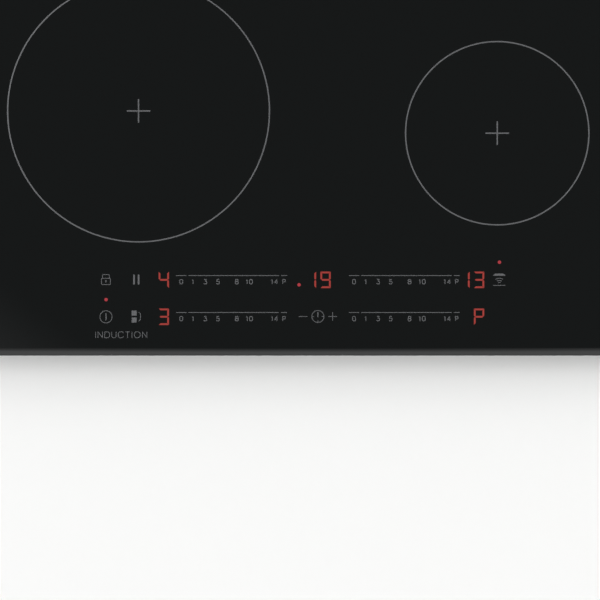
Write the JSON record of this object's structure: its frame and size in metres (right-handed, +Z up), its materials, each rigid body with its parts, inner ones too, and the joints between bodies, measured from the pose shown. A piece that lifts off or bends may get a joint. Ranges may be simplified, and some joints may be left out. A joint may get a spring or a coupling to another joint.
{
  "type": "induction cooktop",
  "caption": "Built-in electric induction cooktop: flat black glass top over a steel casing with floating coils, blowers, a touch-control strip, side clips and a mains connection box.",
  "frame": {"origin": "centre of the underside of the whole appliance, on the surface that it would stand on", "axes": "+X to the user's right along the longest side, +Y away from the user to the rear, +Z up through the glass"},
  "size_m": [0.59, 0.52, 0.05],
  "materials": {
    "black_glass": "polished black glass ceramic",
    "seal_rubber": "matt black foam rubber",
    "sheet_steel": "galvanised sheet steel, satin",
    "spring_steel": "bright spring steel",
    "aluminium_sheet": "plain aluminium, satin",
    "copper_winding": "varnished copper strand, satin",
    "ferrite": "dark grey sintered ferrite, matt",
    "mica_sheet": "pressed mica sheet, satin",
    "silicone": "white silicone, matt",
    "former_plastic": "heat-proof phenolic plastic, matt",
    "circuit_board": "green solder resist, satin",
    "white_plastic": "off-white moulded plastic, matt",
    "black_plastic": "black moulded plastic, matt",
    "display_red": "dark red light box for numerals"
  },
  "bodies": {
    "cooktop": {"glass_top": "black_glass", "edge_seal": "seal_rubber", "casing": "sheet_steel", "rail_rear": "sheet_steel", "control_holder": "white_plastic", "control_board": "circuit_board", "display_left": "display_red", "display_timer": "display_red", "display_right": "display_red", "ribbon_cable": "white_plastic", "filter_board": "circuit_board", "mains_choke": "copper_winding", "filter_capacitor": "black_plastic", "terminal_box": "white_plastic", "terminal_block": "black_plastic", "cable_grommet": "seal_rubber", "rail_left": "sheet_steel", "coil_plate_left": "aluminium_sheet", "board_tray_left": "white_plastic", "power_board_left": "circuit_board", "heat_sink_left": "aluminium_sheet", "fan_housing_left": "black_plastic", "rail_right": "sheet_steel", "coil_plate_right": "aluminium_sheet", "board_tray_right": "white_plastic", "power_board_right": "circuit_board", "heat_sink_right": "aluminium_sheet", "fan_housing_right": "black_plastic", "coil_spring_front_left": "spring_steel", "coil_spring_rear_left": "spring_steel", "coil_spring_front_right": "spring_steel", "coil_spring_rear_right": "spring_steel"},
    "fan_rotor_left": {"fan_rotor_left": "black_plastic"},
    "fan_rotor_right": {"fan_rotor_right": "black_plastic"},
    "terminal_flap": {"terminal_flap": "white_plastic"},
    "clip_front_left": {"clip_front_left": "spring_steel"},
    "clip_rear_left": {"clip_rear_left": "spring_steel"},
    "clip_front_right": {"clip_front_right": "spring_steel"},
    "clip_rear_right": {"clip_rear_right": "spring_steel"},
    "coil_front_left": {"coil_former_front_left": "former_plastic", "coil_ferrite_front_left": "ferrite", "coil_winding_front_left": "copper_winding", "coil_mica_front_left": "mica_sheet", "coil_sensor_front_left": "silicone"},
    "coil_rear_left": {"coil_former_rear_left": "former_plastic", "coil_ferrite_rear_left": "ferrite", "coil_winding_rear_left": "copper_winding", "coil_mica_rear_left": "mica_sheet", "coil_sensor_rear_left": "silicone"},
    "coil_front_right": {"coil_former_front_right": "former_plastic", "coil_ferrite_front_right": "ferrite", "coil_winding_front_right": "copper_winding", "coil_mica_front_right": "mica_sheet", "coil_sensor_front_right": "silicone"},
    "coil_rear_right": {"coil_former_rear_right": "former_plastic", "coil_ferrite_rear_right": "ferrite", "coil_winding_rear_right": "copper_winding", "coil_mica_rear_right": "mica_sheet", "coil_sensor_rear_right": "silicone"}
  },
  "joints": [
    {"name": "fan_spin_left", "type": "hinge", "parent": "cooktop", "child": "fan_rotor_left", "pos_m": [-0.128, 0.135, 0.017], "axis": [0, 0, 1], "continuous": true},
    {"name": "fan_spin_right", "type": "hinge", "parent": "cooktop", "child": "fan_rotor_right", "pos_m": [0.162, 0.135, 0.017], "axis": [0, 0, 1], "continuous": true},
    {"name": "coil_float_front_left", "type": "slide", "parent": "cooktop", "child": "coil_front_left", "axis": [0, 0, 1], "range_m": [-0.0008, 0], "stiffness_N_per_m": 4000, "springref_m": 0.0035, "deforming": ["coil_spring_front_left"]},
    {"name": "coil_float_rear_left", "type": "slide", "parent": "cooktop", "child": "coil_rear_left", "axis": [0, 0, 1], "range_m": [-0.0008, 0], "stiffness_N_per_m": 4000, "springref_m": 0.0035, "deforming": ["coil_spring_rear_left"]},
    {"name": "coil_float_front_right", "type": "slide", "parent": "cooktop", "child": "coil_front_right", "axis": [0, 0, 1], "range_m": [-0.0008, 0], "stiffness_N_per_m": 4000, "springref_m": 0.0035, "deforming": ["coil_spring_front_right"]},
    {"name": "coil_float_rear_right", "type": "slide", "parent": "cooktop", "child": "coil_rear_right", "axis": [0, 0, 1], "range_m": [-0.0008, 0], "stiffness_N_per_m": 4000, "springref_m": 0.0035, "deforming": ["coil_spring_rear_right"]},
    {"name": "clip_flex_front_left", "type": "hinge", "parent": "cooktop", "child": "clip_front_left", "pos_m": [-0.2766, -0.128, 0.0408], "axis": [0, -1, 0], "range_deg": [0, 9], "stiffness_Nm_per_rad": 1, "springref_deg": -5.73},
    {"name": "clip_flex_rear_left", "type": "hinge", "parent": "cooktop", "child": "clip_rear_left", "pos_m": [-0.2766, 0.128, 0.0408], "axis": [0, -1, 0], "range_deg": [0, 9], "stiffness_Nm_per_rad": 1, "springref_deg": -5.73},
    {"name": "clip_flex_front_right", "type": "hinge", "parent": "cooktop", "child": "clip_front_right", "pos_m": [0.2766, -0.128, 0.0408], "axis": [0, 1, 0], "range_deg": [0, 9], "stiffness_Nm_per_rad": 1, "springref_deg": -5.73},
    {"name": "clip_flex_rear_right", "type": "hinge", "parent": "cooktop", "child": "clip_rear_right", "pos_m": [0.2766, 0.128, 0.0408], "axis": [0, 1, 0], "range_deg": [0, 9], "stiffness_Nm_per_rad": 1, "springref_deg": -5.73},
    {"name": "terminal_flap_hinge", "type": "hinge", "parent": "cooktop", "child": "terminal_flap", "pos_m": [0.19, 0.242, 0.0044], "axis": [-1, 0, 0], "range_deg": [0, 90]}
  ]
}
